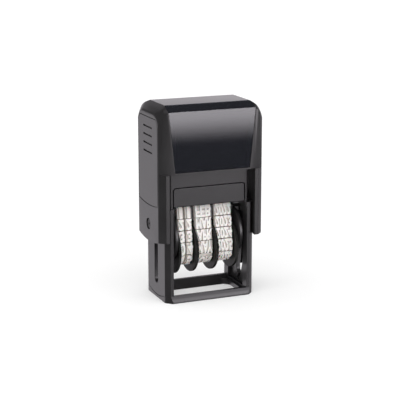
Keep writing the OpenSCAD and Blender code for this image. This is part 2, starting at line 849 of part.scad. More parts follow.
// Point on a band at a distance along it from the top, and out from its inner face
function loop_point(along, out) =
    let (
        total = 2 * half_l,
        s = along - total * floor(along / total),
        side = s <= half_l ? -1 : 1,
        d = s <= half_l ? s : total - s,
        e = d - platen_flat,
        f = e - edge_l,
        g = f - run_l,
        edge_turn = 90 - (90 - run_lean) * e / edge_l,
        drum_turn = run_lean - (90 + run_lean) * g / turn_l,
        p = e < 0 ? [d, platen_z + out]
            : f < 0 ? [platen_flat, edge_z] + (platen_edge + out) * [cos(edge_turn), sin(edge_turn)]
            : g < 0 ? [platen_flat, edge_z] + (platen_edge + out) * [cos(run_lean), sin(run_lean)]
                + f * [sin(run_lean), -cos(run_lean)]
            : [0, wheel_z] + (loop_r + out) * [cos(drum_turn), sin(drum_turn)]
    )
    [side * p.x, p.y];
row_steps = 8;
module band(x, w) {
    row_l = row_pitch - row_gap;
    outer = [
        for (i = [0 : row_count - 1])
            for (k = [-1 : row_steps + 1])
                let (along = row_pitch * i + row_l * (min(max(k, 0), row_steps) / row_steps - 0.5))
                loop_point(along, k < 0 || k > row_steps ? band_t : band_t + row_h)
    ];
    inner = [for (i = [0 : row_count * row_steps - 1]) loop_point(row_pitch * i / row_steps, 0)];
    color(rubber_white) difference() {
        along_x(x, x + w) polygon(outer);
        along_x(x - over, x + w + over) polygon(inner);
    }
}
module band_day_tens() {
    band(tens_x, day_band_w);
}
module band_day_units() {
    band(units_x, day_band_w);
}
module band_month() {
    band(month_x, month_band_w);
}
module band_year() {
    band(year_x, year_band_w);
}

// Setting wheel: a notched finger disc beside a fluted drum, bored for the axle
module wheel(disc_x, drum_x, drum_w) {
    disc_points = [
        for (i = [0 : 2 * notch_count - 1])
            let (turn = 180 * i / notch_count)
            (disc_r - (i % 2) * notch_depth) * [cos(turn), sin(turn)]
    ];
    flute_steps = 6;
    drum_points = [
        for (i = [0 : flute_count * flute_steps - 1])
            let (
                turn = 360 * i / (flute_count * flute_steps),
                dip = i % flute_steps > flute_steps / 2 ? flute_depth : 0
            )
            (drum_r - dip) * [cos(turn), sin(turn)]
    ];
    low_x = min(disc_x, drum_x);
    high_x = max(disc_x + disc_t, drum_x + drum_w);
    color(black_plastic) translate([0, 0, wheel_z]) difference() {
        union() {
            along_x(disc_x, disc_x + disc_t) polygon(disc_points);
            along_x(low_x, high_x) polygon(drum_points);
        }
        rod_x(axle_r + run_fit, low_x - over, high_x + over);
    }
}
module wheel_day_tens() {
    wheel(tens_disc_x, tens_x, day_band_w);
}
module wheel_day_units() {
    wheel(units_disc_x, units_x, day_band_w);
}
module wheel_month() {
    wheel(month_disc_x, month_x, month_band_w);
}
module wheel_year() {
    wheel(year_disc_x, year_x, year_band_w);
}

frame_housing();
base_frame();
return_spring();
pad_tray();
ink_pad();
cap_shell();
window_cover();
index_card();
pivot_pin_left();
pivot_pin_right();
carrier_cheek_left();
carrier_cheek_right();
platen();
wheel_axle();
axle_clip();
band_day_tens();
band_day_units();
band_month();
band_year();
wheel_day_tens();
wheel_day_units();
wheel_month();
wheel_year();
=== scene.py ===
# %% [markdown]
# # A small self-inking date stamp
# The stamp is a black cap on two legs that slides down over a black frame. Inside, a carrier holds
# four cream rubber bands with raised characters, and turns over while the cap goes down.
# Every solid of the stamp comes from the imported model, which is loaded as a fixed frame. This lesson
# gives the solids softer edges and real finishes, and makes anew the pieces that are rubber, felt or wire.

# %% Load the fixed frame
import json
import math

import bmesh
import bpy
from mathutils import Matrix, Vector


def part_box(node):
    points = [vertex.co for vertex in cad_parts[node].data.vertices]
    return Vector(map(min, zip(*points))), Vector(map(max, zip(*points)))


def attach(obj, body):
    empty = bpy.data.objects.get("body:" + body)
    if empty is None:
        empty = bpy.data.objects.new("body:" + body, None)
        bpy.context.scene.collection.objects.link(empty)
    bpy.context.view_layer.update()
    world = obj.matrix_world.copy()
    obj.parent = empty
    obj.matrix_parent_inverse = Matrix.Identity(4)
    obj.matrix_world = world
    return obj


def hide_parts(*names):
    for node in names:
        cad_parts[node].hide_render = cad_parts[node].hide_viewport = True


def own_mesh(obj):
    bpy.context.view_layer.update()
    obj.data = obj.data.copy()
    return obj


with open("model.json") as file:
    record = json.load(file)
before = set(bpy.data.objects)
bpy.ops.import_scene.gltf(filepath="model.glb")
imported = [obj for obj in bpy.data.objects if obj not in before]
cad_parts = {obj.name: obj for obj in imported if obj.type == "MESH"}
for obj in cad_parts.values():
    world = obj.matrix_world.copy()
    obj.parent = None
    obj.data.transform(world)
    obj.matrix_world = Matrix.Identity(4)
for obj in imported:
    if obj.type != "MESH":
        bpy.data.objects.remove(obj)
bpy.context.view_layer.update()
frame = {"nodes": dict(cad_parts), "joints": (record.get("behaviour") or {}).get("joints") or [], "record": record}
MM = 0.001
RECORD = frame["record"]
BODY_OF = {node: body for body, nodes in RECORD["behaviour"]["bodies"].items() for node in nodes}
JOINT = {joint["name"]: joint for joint in frame["joints"]}

# %% [markdown]
# ## The camera
# The photograph looks at the front from a little to the left and from above. The lens is long, so the
# upright edges stay nearly parallel. The camera's place was worked out from the stamp's own corners,
# and it is given here as a place and a point that it looks at, both in millimetres.

# %% Camera
CAMERA_PLACE = Vector((-155.94, -373.65, 128.76)) * MM
CAMERA_TARGET = Vector((0.05, 0, 32)) * MM
SENSOR, LENS = 36, 111.41
camera = bpy.data.objects.new("camera", bpy.data.cameras.new("camera"))
camera.data.sensor_width = SENSOR
camera.data.lens = LENS
camera.location = CAMERA_PLACE
camera.rotation_euler = (CAMERA_TARGET - CAMERA_PLACE).to_track_quat("-Z", "Y").to_euler()
bpy.context.scene.collection.objects.link(camera)
bpy.context.scene.camera = camera
print("camera distance in mm:", round((CAMERA_TARGET - CAMERA_PLACE).length / MM, 1))

# %% [markdown]
# ## Helpers for finishes
# A finish is a small tree of nodes. Four helpers are enough for all of them: one turns an sRGB hex
# colour into the linear values that Blender computes with, one adds a node with its settings and links,
# one starts a material, and one gives a pattern's scale. Patterns are laid out in object space, which is
# in metres, so a pattern's scale is one over its real size.

# %% Colour, node, material and scale helpers
def linear(hex_colour):
    """An sRGB hex colour as the linear RGBA values of a colour socket."""
    channels = [int(hex_colour[i:i + 2], 16) / 255 for i in (1, 3, 5)]
    return [c / 12.92 if c <= 0.04045 else ((c + 0.055) / 1.055) ** 2.4 for c in channels] + [1]


def add(tree, kind, inputs=None, ramp=None, **settings):
    """Add a node. An input is a value or a node's output, and a ramp is a list of (place, colour)."""
    node = tree.nodes.new("ShaderNode" + kind)
    for name, value in settings.items():
        setattr(node, name, value)
    for name, value in (inputs or {}).items():
        if isinstance(value, bpy.types.NodeSocket):
            tree.links.new(value, node.inputs[name])
        else:
            node.inputs[name].default_value = value
    for i, (place, colour) in enumerate(ramp or []):
        stops = node.color_ramp.elements
        stop = stops[i] if i < len(stops) else stops.new(place)
        stop.position = place
        stop.color = linear(colour)
    return node


def new_finish(name, inputs):
    """A material with one shader: (material, its tree, the shader, object coordinates)."""
    material = bpy.data.materials.new(name)
    material.use_nodes = True
    tree = material.node_tree
    tree.nodes.clear()
    shader = add(tree, "BsdfPrincipled", inputs)
    add(tree, "OutputMaterial", {"Surface": shader.outputs[0]})
    return material, tree, shader, add(tree, "TexCoord").outputs["Object"]


def scale_for(size_mm):
    """The texture scale at which one cell of a pattern has this size."""
    return 1 / (size_mm * MM)


print("a pattern of 1 mm has the scale", round(scale_for(1)))

# %% [markdown]
# ## Satin ABS
# The cap, the frame, the base, the cassette, the pivot pins, and the carrier's cheeks and platen are
# moulded in black ABS. The mould was spark-eroded, which leaves a fine dull grain, so the plastic shows a
# broad soft sheen and looks dark grey where light meets it at a low angle. The grain is about 0.2 mm.
# Handling polishes the edges, so the narrow rounded edges get a finish of their own: the same plastic, a little
# smoother, and painted paler as a highlight. Painted shade makes the plastic nearly black and dull on some edges
# and round the pivot pins.

# %% Satin ABS, with painted highlight and painted shade
ABS_CLOUD, ABS_GRAIN, ABS_GRAIN_H = 9, 0.22, 0.02


def satin_abs(name, dark, pale, smooth, dull, relief):
    """Moulded ABS: faint clouds of tone, and a grain that varies the gloss and stands up a few microns."""
    material, tree, shader, place = new_finish(name, {"IOR": 1.53})
    cloud = add(tree, "TexNoise", {"Vector": place, "Scale": scale_for(ABS_CLOUD), "Detail": 4})
    tone = add(tree, "ValToRGB", {"Fac": cloud.outputs["Fac"]}, ramp=[(0.35, dark), (0.65, pale)])
    grain = add(tree, "TexNoise", {"Vector": place, "Scale": scale_for(ABS_GRAIN), "Detail": 2})
    gloss = add(tree, "MapRange", {"Value": grain.outputs["Fac"], "To Min": smooth, "To Max": dull})
    bump = add(tree, "Bump", {"Height": grain.outputs["Fac"], "Strength": relief,
                              "Distance": ABS_GRAIN_H * MM})
    for socket, output in (("Base Color", tone.outputs[0]), ("Roughness", gloss.outputs[0]),
                           ("Normal", bump.outputs[0])):
        tree.links.new(output, shader.inputs[socket])
    return material


# Broad faces: a soft sheen over a near-black grey
ABS = satin_abs("satin_abs", "#201f20", "#252425", 0.28, 0.38, 0.3)
# Rounded edges: smoother from wear, and painted paler as a highlight, so that they draw a thin line of light
ABS_WORN_HIGHLIT_EDGE = satin_abs("satin_abs_worn_and_highlit_edge", "#272627", "#313031", 0.24, 0.34, 0.1)
# Edges of the cassette and the base, and the base's upper rim: painted shade, nearly black and dull
ABS_PAINTED_SHADE_EDGE = satin_abs("painted_shade_abs", "#0d0c0f", "#131216", 0.4, 0.5, 0.1)
# Round the pivot pins: painted shade in the recesses, which shows as a dark ring
ABS_PAINTED_SHADE_PIVOT = satin_abs("painted_shade_pivot_abs", "#060606", "#0b0b0b", 0.45, 0.6, 0.1)
print("finishes:", ABS.name, ABS_WORN_HIGHLIT_EDGE.name, ABS_PAINTED_SHADE_EDGE.name, ABS_PAINTED_SHADE_PIVOT.name)

# %% [markdown]
# ## Acetal
# The setting wheels are moulded in black acetal. It is slippery and a little waxy: darker than the ABS,
# with a faint soft highlight, and with flow marks from the mould.

# %% Acetal
ACETAL_FLOW, ACETAL_GRAIN, ACETAL_GRAIN_H = 3, 0.15, 0.01


def waxy_acetal(name, dark, pale, smooth, dull):
    """Black acetal with flow marks some 3 mm long and a soft waxy gloss."""
    material, tree, shader, place = new_finish(name, {"IOR": 1.48, "Specular IOR Level": 0.15})
    flow = add(tree, "TexNoise", {"Vector": place, "Scale": scale_for(ACETAL_FLOW), "Detail": 5,
                                  "Distortion": 0.8})
    tone = add(tree, "ValToRGB", {"Fac": flow.outputs["Fac"]}, ramp=[(0.3, dark), (0.7, pale)])
    gloss = add(tree, "MapRange", {"Value": flow.outputs["Fac"], "To Min": smooth, "To Max": dull})
    grain = add(tree, "TexNoise", {"Vector": place, "Scale": scale_for(ACETAL_GRAIN), "Detail": 1})
    bump = add(tree, "Bump", {"Height": grain.outputs["Fac"], "Strength": 0.12,
                              "Distance": ACETAL_GRAIN_H * MM})
    for socket, output in (("Base Color", tone.outputs[0]), ("Roughness", gloss.outputs[0]),
                           ("Normal", bump.outputs[0])):
        tree.links.new(output, shader.inputs[socket])
    return material


# Discs and drums: waxy black
ACETAL = waxy_acetal("black_acetal", "#121211", "#191918", 0.35, 0.5)
# Edges, rubbed by fingers: a little smoother, and painted paler as a highlight
ACETAL_WORN_HIGHLIT_EDGE = waxy_acetal("black_acetal_worn_and_highlit_edge", "#1d1d1c", "#282826", 0.3, 0.4)
print("finishes:", ACETAL.name, ACETAL_WORN_HIGHLIT_EDGE.name)

# %% [markdown]
# ## Smoky polystyrene and black card
# The window is a bowed plate of polystyrene with a smoky tint, polished so that it mirrors the studio.
# Behind it lies a black coated card. Most of the plate's body lets light through, with a real refraction
# and darkened by the tint, and only hair scratches dull the gloss.

# %% Window and card
WINDOW_SCRATCH, CARD_FIBRE = 2.5, 0.5


def smoky_polystyrene():
    """Polished tinted plastic: mostly see-through, with fine scratches that dull the gloss a little."""
    material, tree, shader, place = new_finish("smoky_polystyrene", {
        "IOR": 1.59, "Transmission Weight": 0.8, "Base Color": linear("#464851")})
    scratch = add(tree, "TexNoise", {"Vector": place, "Scale": scale_for(WINDOW_SCRATCH), "Detail": 8})
    gloss = add(tree, "MapRange", {"Value": scratch.outputs["Fac"], "To Min": 0.02, "To Max": 0.07})
    tree.links.new(gloss.outputs[0], shader.inputs["Roughness"])
    return material


def coated_card():
    """Black coated card: a blue-black print with the mottle of paper fibre under the coating."""
    material, tree, shader, place = new_finish("coated_card", {"IOR": 1.5})
    fibre = add(tree, "TexNoise", {"Vector": place, "Scale": scale_for(CARD_FIBRE), "Detail": 6})
    tone = add(tree, "ValToRGB", {"Fac": fibre.outputs["Fac"]}, ramp=[(0.3, "#1f2026"), (0.7, "#26272e")])
    gloss = add(tree, "MapRange", {"Value": fibre.outputs["Fac"], "To Min": 0.3, "To Max": 0.45})
    tree.links.new(tone.outputs[0], shader.inputs["Base Color"])
    tree.links.new(gloss.outputs[0], shader.inputs["Roughness"])
    return material


POLYSTYRENE = smoky_polystyrene()
CARD = coated_card()
print("finishes:", POLYSTYRENE.name, CARD.name)

# %% [markdown]
# ## Drawn steel
# The return spring is drawn wire, and the wheel axle is ground rod. Both are bare steel, and the marks of
# the drawing die or the grinding wheel blur their highlights. On pieces this small the marks only show
# as a mottle, so a fine noise is enough for them.

# %% Drawn steel
STEEL_MARKS = 0.25


def drawn_steel(name, dark, pale, smooth, dull):
    """Bare steel whose gloss and tone vary in fine marks."""
    material, tree, shader, place = new_finish(name, {"Metallic": 1.0})
    marks = add(tree, "TexNoise", {"Vector": place, "Scale": scale_for(STEEL_MARKS), "Detail": 3})
    tone = add(tree, "ValToRGB", {"Fac": marks.outputs["Fac"]}, ramp=[(0.3, dark), (0.7, pale)])
    gloss = add(tree, "MapRange", {"Value": marks.outputs["Fac"], "To Min": smooth, "To Max": dull})
    tree.links.new(tone.outputs[0], shader.inputs["Base Color"])
    tree.links.new(gloss.outputs[0], shader.inputs["Roughness"])
    return material


# Wire: greyer and more blurred
SPRING_STEEL = drawn_steel("drawn_spring_steel", "#9b9a97", "#b9b8b4", 0.22, 0.36)
# Rod: paler and smoother
AXLE_STEEL = drawn_steel("ground_axle_steel", "#a5a5a4", "#c6c6c4", 0.18, 0.3)
print("finishes:", SPRING_STEEL.name, AXLE_STEEL.name)

# %% [markdown]
# ## Moulded pieces with rounded edges
# A moulded edge is never sharp: it has a radius of up to half a millimetre, and that radius catches the
# light as a thin line. The solids have their larger radii already, so each rigid piece becomes a copy of
# its solid, with flat areas cleaned of their triangles and the sharp edges bevelled. The bevel puts its
# faces in a second material slot, which is where the edge's finish goes.

# %% Rounded copies of the rigid solids
FLAT_ANGLE = math.radians(0.4)
SHARP_ANGLE = math.radians(24)
WELD = 0.002 * MM
BEVEL_STEPS = 2
# Slot 1 holds the edge finish, slot 2 the painted shade round the pivots
EDGE_SLOT, PIVOT_SHADE_SLOT = 1, 2


def rounded_copy(node, finish, edge_finish, radius, shape=None):
    """A copy of a solid, shaped if a function is given, with rounded edges, which stands for it."""
    solid = bmesh.new()
    solid.from_mesh(frame["nodes"][node].data)
    bmesh.ops.remove_doubles(solid, verts=solid.verts, dist=WELD)
    bmesh.ops.dissolve_limit(solid, angle_limit=FLAT_ANGLE, verts=solid.verts, edges=solid.edges)
    if shape:
        shape(solid)
    solid.verts.index_update()
    mesh = bpy.data.meshes.new(node + "_moulding")
    mesh.from_pydata([v.co for v in solid.verts], [], [[v.index for v in f.verts] for f in solid.faces])
    solid.free()
    mesh.shade_smooth()
    mesh.materials.append(finish)
    mesh.materials.append(edge_finish)
    piece = bpy.data.objects.new(node + "_moulding", mesh)
    bpy.context.scene.collection.objects.link(piece)
    bevel = piece.modifiers.new("edge_radius", "BEVEL")
    bevel.width = radius * MM
    bevel.segments = BEVEL_STEPS
    bevel.limit_method = "ANGLE"
    bevel.angle_limit = SHARP_ANGLE
    bevel.material = EDGE_SLOT
    bevel.harden_normals = True
    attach(piece, BODY_OF[node])
    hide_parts(node)
    return piece


print("edges sharper than", round(math.degrees(SHARP_ANGLE)), "degrees get a radius")

# %% [markdown]
# ## The cap's rolled corners
# The four top corners of the cap roll over softly: the side slopes sink towards each corner, and run into
# the slanted corner face without a hard edge. The solid has plain slopes there. Its sloping faces are cut
# along lines that run beside the corner face, and the points are then lowered, the more the nearer they
# lie to the corner. The upright faces get one level cut, so that their shading changes near the top only.

# %% Roll the corners
CAP_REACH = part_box("cap_shell")[1] / MM
CORNER_CUT = 2.0
SLOPE_W = 3.5
ROLL_DROP, ROLL_REACH = 3.0, 1.5
ROLL_LINES = (0.3, 0.6, 1.0, 1.5, 2.1, 3.0, 4.2)
ROLL_START, ROLL_FULL = 10, 2.6
LEVEL_CUT = 6.5
LEAST_LEAN = 0.02


def sloping(solid):
    """The faces of a bmesh that look up, but are neither level nor upright."""
    return [face for face in solid.faces if LEAST_LEAN < face.normal.z < 1 - LEAST_LEAN]


def cut(solid, faces, place, normal):
    """Cut some faces of a bmesh along a plane, without taking anything away."""
    edges = {edge for face in faces for edge in face.edges}
    verts = {vert for face in faces for vert in face.verts}
    parts = sorted(verts, key=lambda v: v.index) + sorted(edges, key=lambda e: e.index) + faces
    bmesh.ops.bisect_plane(solid, geom=parts, plane_co=Vector(place) * MM, plane_no=normal)
    for group in (solid.verts, solid.edges, solid.faces):
        group.index_update()


def roll_corners(solid):
    """Lower the cap's top corners, in a curve that runs out along the slopes."""
    solid.normal_update()
    corner_line = CAP_REACH.x + CAP_REACH.y - CORNER_CUT
    for side_x, side_y in ((-1, -1), (-1, 1), (1, -1), (1, 1)):
        for inside in ROLL_LINES:
            half = (corner_line - inside) / 2
            cut(solid, sloping(solid), (side_x * half, side_y * half, 0), (side_x, side_y, 0))
    upright = [face for face in solid.faces if abs(face.normal.z) < LEAST_LEAN]
    cut(solid, upright, (0, 0, CAP_REACH.z - LEVEL_CUT), (0, 0, 1))
    for vert in solid.verts:
        x, y, z = vert.co / MM
        across = min(max(1 - (CAP_REACH.x - abs(x)) / SLOPE_W, 0), 1)
        inside = max(corner_line - abs(x) - abs(y), 0)
        share = min(max((z - CAP_REACH.z + ROLL_START) / (ROLL_START - ROLL_FULL), 0), 1)
        drop = ROLL_DROP * across * math.exp(-inside / ROLL_REACH) * share ** 2 * (3 - 2 * share)
        vert.co.z -= drop * MM
    print("cap faces with rolled corners:", len(solid.faces))


print("cap reach in mm:", [round(v, 2) for v in CAP_REACH])

# %% [markdown]
# ## Painted shade round the pivot pins
# The carrier turns on two pins in the cap's legs. The wall of the recess round each pin's end, and the dimple in
# it, are painted dark as shade. The faces are picked by how far they lie from the pivot's line and by how much
# they face sideways, and no large face is taken.

# %% Painted shade round the pivot pins
PIVOT = Vector(JOINT["carrier_flip"]["pos_m"]) / MM
# Reach from the pivot's line in mm, and the most that a face with painted shade may look sideways
PIVOT_SHADE_REACH = {"cap_shell": (1.95, 0.5), "pivot_pin_left": (0.45, 1.1), "pivot_pin_right": (0.45, 1.1)}
RECESS_AREA = 12


def grease_round_pivot(piece, reach, sideways):
    """Give the painted-shade finish to the small faces of a piece that lie close round the pivot's line."""
    piece.data.materials.append(ABS_PAINTED_SHADE_PIVOT)
    pivot_shaded_faces = [face for face in piece.data.polygons
               if face.area / MM ** 2 < RECESS_AREA and abs(face.normal.x) < sideways
               and math.hypot(face.center.y / MM - PIVOT.y, face.center.z / MM - PIVOT.z) < reach]
    for face in pivot_shaded_faces:
        face.material_index = PIVOT_SHADE_SLOT
    print(piece.name, "greased faces:", len(pivot_shaded_faces))


print("pivot in mm:", [round(v, 2) for v in PIVOT])

# %% [markdown]
# ## The base's bars
# The print window narrows towards the paper: the inner faces of the base's front and back bars slope in.
# The solid has upright faces there, so the copy's points round the window are moved inwards, the more the lower
# they lie. The upper rim is painted dark as shade. A level cut parts it from the lower slope, and it gets the same
# dark finish as the base's edges.

# %% Slope the bars and paint shade on the rim
BASE_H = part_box("base_frame")[1].z / MM
WINDOW_X, WINDOW_Y = 13.3, (5.5, 8.2)
LIP = 3.85
# Height above which the base's rim is painted dark as shade
RIM_SHADE_Z = 1.5


def shape_base(solid):
    """Cut the outer slopes where the rim's painted shade ends, and slope the bars' inner faces towards the print
    window.
    """
    solid.normal_update()
    cut(solid, sloping(solid), (0, 0, RIM_SHADE_Z), (0, 0, 1))
    for vert in solid.verts:
        x, y, z = vert.co / MM
        if abs(x) < WINDOW_X and WINDOW_Y[0] < abs(y) < WINDOW_Y[1]:
            vert.co.y -= math.copysign(LIP * (1 - z / BASE_H), y) * MM
    solid.normal_update()
    print("base faces:", len(solid.faces))


def stain_rim(piece):
    """Paint shade on the upper rim, slope and top, with the dark finish of the base's edges."""
    rim_shaded_faces = [face for face in piece.data.polygons
               if face.center.z / MM > RIM_SHADE_Z and face.normal.z > LEAST_LEAN]
    for face in rim_shaded_faces:
        face.material_index = EDGE_SLOT
    print(piece.name, "stained faces:", len(rim_shaded_faces))


print("base height in mm:", round(BASE_H, 2))

# %% [markdown]
# ## All the mouldings
# Each rigid solid now gets its copy, with the finishes of its faces and of its edges, and with the edges' radius
# in millimetres. The radii are wide on the cassette and the base, whose edges carry painted shade, and narrow on
# the wheels and the card.

# %% Make the mouldings
MOULDINGS = {
    "cap_shell": (ABS, ABS_WORN_HIGHLIT_EDGE, 0.2),
    "frame_housing": (ABS, ABS_WORN_HIGHLIT_EDGE, 0.16),
    # The base's and the cassette's edges get painted shade
    "base_frame": (ABS, ABS_PAINTED_SHADE_EDGE, 0.45),
    "pad_tray": (ABS, ABS_PAINTED_SHADE_EDGE, 0.42),
    "pivot_pin_left": (ABS, ABS_WORN_HIGHLIT_EDGE, 0.12),
    "pivot_pin_right": (ABS, ABS_WORN_HIGHLIT_EDGE, 0.12),
    "carrier_cheek_left": (ABS, ABS_WORN_HIGHLIT_EDGE, 0.1),
    "carrier_cheek_right": (ABS, ABS_WORN_HIGHLIT_EDGE, 0.1),
    "platen": (ABS, ABS_WORN_HIGHLIT_EDGE, 0.1),
    "wheel_day_tens": (ACETAL, ACETAL_WORN_HIGHLIT_EDGE, 0.05),
    "wheel_day_units": (ACETAL, ACETAL_WORN_HIGHLIT_EDGE, 0.05),
    "wheel_month": (ACETAL, ACETAL_WORN_HIGHLIT_EDGE, 0.05),
    "wheel_year": (ACETAL, ACETAL_WORN_HIGHLIT_EDGE, 0.05),
    "wheel_axle": (AXLE_STEEL, AXLE_STEEL, 0.08),
    "axle_clip": (AXLE_STEEL, AXLE_STEEL, 0.08),
    "window_cover": (POLYSTYRENE, POLYSTYRENE, 0.08),
    "index_card": (CARD, CARD, 0.03),
}
SHAPES = {"cap_shell": roll_corners, "base_frame": shape_base}
for node, (finish, edge_finish, radius) in MOULDINGS.items():
    piece = rounded_copy(node, finish, edge_finish, radius, SHAPES.get(node))
    if node == "base_frame":
        stain_rim(piece)
    if node in PIVOT_SHADE_REACH:
        grease_round_pivot(piece, *PIVOT_SHADE_REACH[node])
print("rounded copies:", len(MOULDINGS))

# %% [markdown]
# ## Cream rubber
# The bands are moulded in cream natural rubber: dull, a little translucent, and soon marked by ink. The grooves
# between the rows, the feet of the characters and the band's sides are darkened, partly as ink and dust and partly
# as painted shade. Each vertex therefore carries a number, how dark it is painted there, and the finish mixes from
# cream to brown-grey with it.

# %% Cream rubber
RUBBER_BLOOM, RUBBER_SPECK, RUBBER_SPECK_H = 1.6, 0.35, 0.02


def cream_rubber():
    """Dull cream rubber with a bloom of tone, darkened by ink and painted shade where the attribute says."""
    material, tree, shader, place = new_finish("cream_rubber", {
        "IOR": 1.52, "Subsurface Weight": 0.15, "Subsurface Scale": 0.4 * MM, "Roughness": 0.55})
    bloom = add(tree, "TexNoise", {"Vector": place, "Scale": scale_for(RUBBER_BLOOM), "Detail": 5})
    clean = add(tree, "ValToRGB", {"Fac": bloom.outputs["Fac"]}, ramp=[(0.3, "#e5e1de"), (0.7, "#eeebe8")])
    speck = add(tree, "TexNoise", {"Vector": place, "Scale": scale_for(RUBBER_SPECK), "Detail": 3})
    # Brown-grey for ink, and for painted shade in the grooves and at the characters' feet
    dirt_and_shade = add(tree, "ValToRGB", {"Fac": speck.outputs["Fac"]}, ramp=[(0.3, "#6a5c50"), (0.7, "#93826f")])
    # The per-vertex share of ink and painted shade
    ink_and_shade = add(tree, "Attribute", attribute_name="ink_and_shade")
    # A Mix node's colour sockets are inputs 6 and 7 and output 2
    tone = add(tree, "Mix", {0: ink_and_shade.outputs["Fac"], 6: clean.outputs[0], 7: dirt_and_shade.outputs[0]},
               data_type="RGBA")
    bump = add(tree, "Bump", {"Height": speck.outputs["Fac"], "Strength": 0.2,
                              "Distance": RUBBER_SPECK_H * MM})
    tree.links.new(tone.outputs[2], shader.inputs["Base Color"])
    tree.links.new(bump.outputs[0], shader.inputs["Normal"])
    return material


RUBBER = cream_rubber()
print("finish:", RUBBER.name)

# %% [markdown]
# ## The line that a band follows
# A band goes over the platen at the top and round its drum at the bottom. Its inner face is two arcs and
# the straight runs that touch both. The places come from the frame: the drum's axis is the wheel's joint,
# and the band's own box gives its reach. A point on the band is then given by two lengths: how far along
# the loop it is, counted from the middle of the platen towards the front, and how far out it stands.

# %% Loop of a band
BAND_T, ROW_H, TYPE_H = 0.9, 0.6, 0.45
ROWS, ROW_GAP = 12, 0.2
PLATEN_FLAT, PLATEN_EDGE = 1.6, 0.4
WHEEL_Z = JOINT["month_wheel_turn"]["pos_m"][2] / MM
LOOP_R = WHEEL_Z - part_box("band_month")[0].z / MM - BAND_T - ROW_H
EDGE_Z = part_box("band_month")[1].z / MM - BAND_T - ROW_H - PLATEN_EDGE
CENTRES = math.hypot(PLATEN_FLAT, EDGE_Z - WHEEL_Z)
LEAN = math.atan2(EDGE_Z - WHEEL_Z, PLATEN_FLAT) - math.acos((LOOP_R - PLATEN_EDGE) / CENTRES)
EDGE_L = (PLATEN_EDGE + BAND_T / 2) * (math.pi / 2 - LEAN)
RUN_L = math.sqrt(CENTRES ** 2 - (LOOP_R - PLATEN_EDGE) ** 2)
TURN_L = (LOOP_R + BAND_T / 2) * (math.pi / 2 + LEAN)
HALF_L = PLATEN_FLAT + EDGE_L + RUN_L + TURN_L
PITCH = 2 * HALF_L / ROWS


def loop_point(along, out):
    """The [y, z] place, in mm, at a length along a band and a height over its inner face."""
    s = along % (2 * HALF_L)
    side, d = (-1, s) if s <= HALF_L else (1, 2 * HALF_L - s)
    edge_d = d - PLATEN_FLAT
    run_d = edge_d - EDGE_L
    turn_d = run_d - RUN_L
    if edge_d < 0:
        return side * d, EDGE_Z + PLATEN_EDGE + out
    if turn_d < 0:
        angle = max(LEAN, math.pi / 2 - (math.pi / 2 - LEAN) * edge_d / EDGE_L)
        slide = max(0, run_d)
        return (side * (PLATEN_FLAT + (PLATEN_EDGE + out) * math.cos(angle) + slide * math.sin(angle)),
                EDGE_Z + (PLATEN_EDGE + out) * math.sin(angle) - slide * math.cos(angle))
    angle = LEAN - (math.pi / 2 + LEAN) * turn_d / TURN_L
    return side * (LOOP_R + out) * math.cos(angle), WHEEL_Z + (LOOP_R + out) * math.sin(angle)


print("band loop in mm:", round(2 * HALF_L, 2), "row pitch:", round(PITCH, 3))

# %% [markdown]
# ## The band itself
# A band is one ring of rubber with a row block for each character. It is swept as a closed strip: at
# each step along the loop there is a ring of eight points across the band, and neighbouring rings are
# joined by quads. The height steps down into the groove between rows, with a rounded shoulder, and the
# band's two side edges are rounded the same way.

# %% Sweep a band
SHOULDER = 0.1
# Where a shoulder's middle point lies, as a share of its size: a little outside the straight bevel
BULGE = 0.3
DRAFT = 0.03
TOP_STEPS = 8
# Shares of the brown-grey, ink and painted shade: most in the grooves, less on the walls, the band's sides and the
# row tops
GROOVE_INK_AND_SHADE, WALL_INK_AND_SHADE, SIDE_INK_AND_SHADE, TOP_INK_AND_SHADE = 1.0, 0.8, 0.5, 0.3


def row_stations():
    """Places along one row: (length from the row's middle, height, share of ink and painted shade)."""
    half = (PITCH - ROW_GAP) / 2
    floor, top = BAND_T, BAND_T + ROW_H
    rising = [(-half - DRAFT, floor, GROOVE_INK_AND_SHADE), (-half, top - SHOULDER, WALL_INK_AND_SHADE),
              (-half + BULGE * SHOULDER, top - BULGE * SHOULDER, TOP_INK_AND_SHADE)]
    flat = [(-half + SHOULDER + (2 * half - 2 * SHOULDER) * k / TOP_STEPS, top, TOP_INK_AND_SHADE)
            for k in range(TOP_STEPS + 1)]
    return rising + flat + [(-along, height, ink_and_shade) for along, height, ink_and_shade in reversed(rising)]


def band_strip(mesh, ink_and_shade_layer, x_low, x_high):
    """The rubber ring between two places on the X axis, added to a bmesh."""
    rings = []
    for row in range(ROWS):
        for along, height, ink_and_shade in row_stations():
            rim = [(0, 0, SIDE_INK_AND_SHADE), (0, height - SHOULDER, ink_and_shade),
                   (BULGE * SHOULDER, height - BULGE * SHOULDER, ink_and_shade), (SHOULDER, height, ink_and_shade)]
            section = [(x_low + inset, out, dirt_and_shade) for inset, out, dirt_and_shade in rim]
            section += [(x_high - inset, out, dirt_and_shade) for inset, out, dirt_and_shade in reversed(rim)]
            ring = []
            for x, out, dirt_and_shade in section:
                y, z = loop_point(PITCH * row + along, out)
                vert = mesh.verts.new(Vector((x, y, z)) * MM)
                # The share of ink and painted shade at this point
                vert[ink_and_shade_layer] = dirt_and_shade
                ring.append(vert)
            rings.append(ring)
    for ring, after in zip(rings, rings[1:] + rings[:1]):
        for i in range(len(ring)):
            j = (i + 1) % len(ring)
            mesh.faces.new((ring[i], ring[j], after[j], after[i]))


print("stations on a row:", len(row_stations()))

# %% [markdown]
# ## Raised characters
# The characters are mirror-written, because they print. On the platen a character's top points to the
# front, so along the loop its height runs the same way as the length, and its width runs along X. Each
# word is set in Blender's own font with a small bevel, scaled to the type height, cut across about every
# half millimetre so that it can bend, and then wrapped round the loop point by point.

